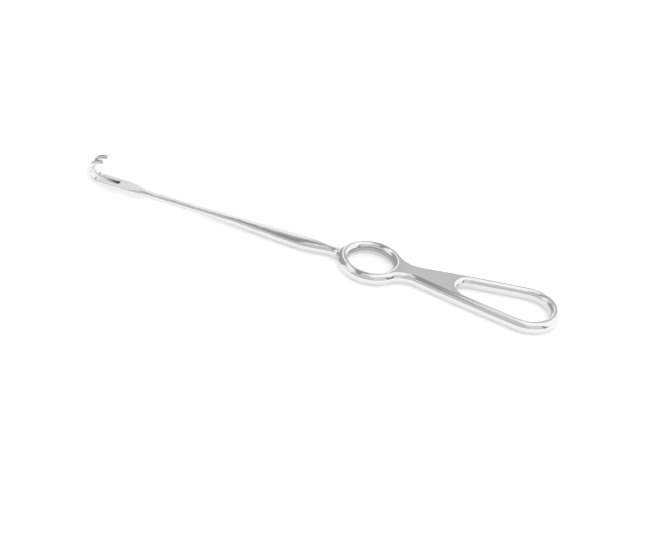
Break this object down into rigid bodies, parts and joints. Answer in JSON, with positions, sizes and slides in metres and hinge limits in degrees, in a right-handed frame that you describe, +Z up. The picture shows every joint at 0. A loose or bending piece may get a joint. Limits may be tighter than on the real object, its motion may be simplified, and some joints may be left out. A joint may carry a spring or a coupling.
{
  "type": "surgical retractor",
  "caption": "Hand-held surgical retractor with blunt hooked prongs on a slim shaft, a finger ring and an open teardrop grip loop, for holding tissue back.",
  "frame": {"origin": "under the middle of the overall length, on the instrument's centre line, in the plane that the flat handle rests on", "axes": "+X along the instrument from the hooked prongs towards the grip loop, +Y across it, +Z up, the way the prongs curl"},
  "size_m": [0.2178, 0.03, 0.0146],
  "materials": {
    "steel": "forged stainless steel, polished bright with a satin flat on web and head"
  },
  "bodies": {
    "root": {"retractor_body": "steel"}
  },
  "joints": []
}
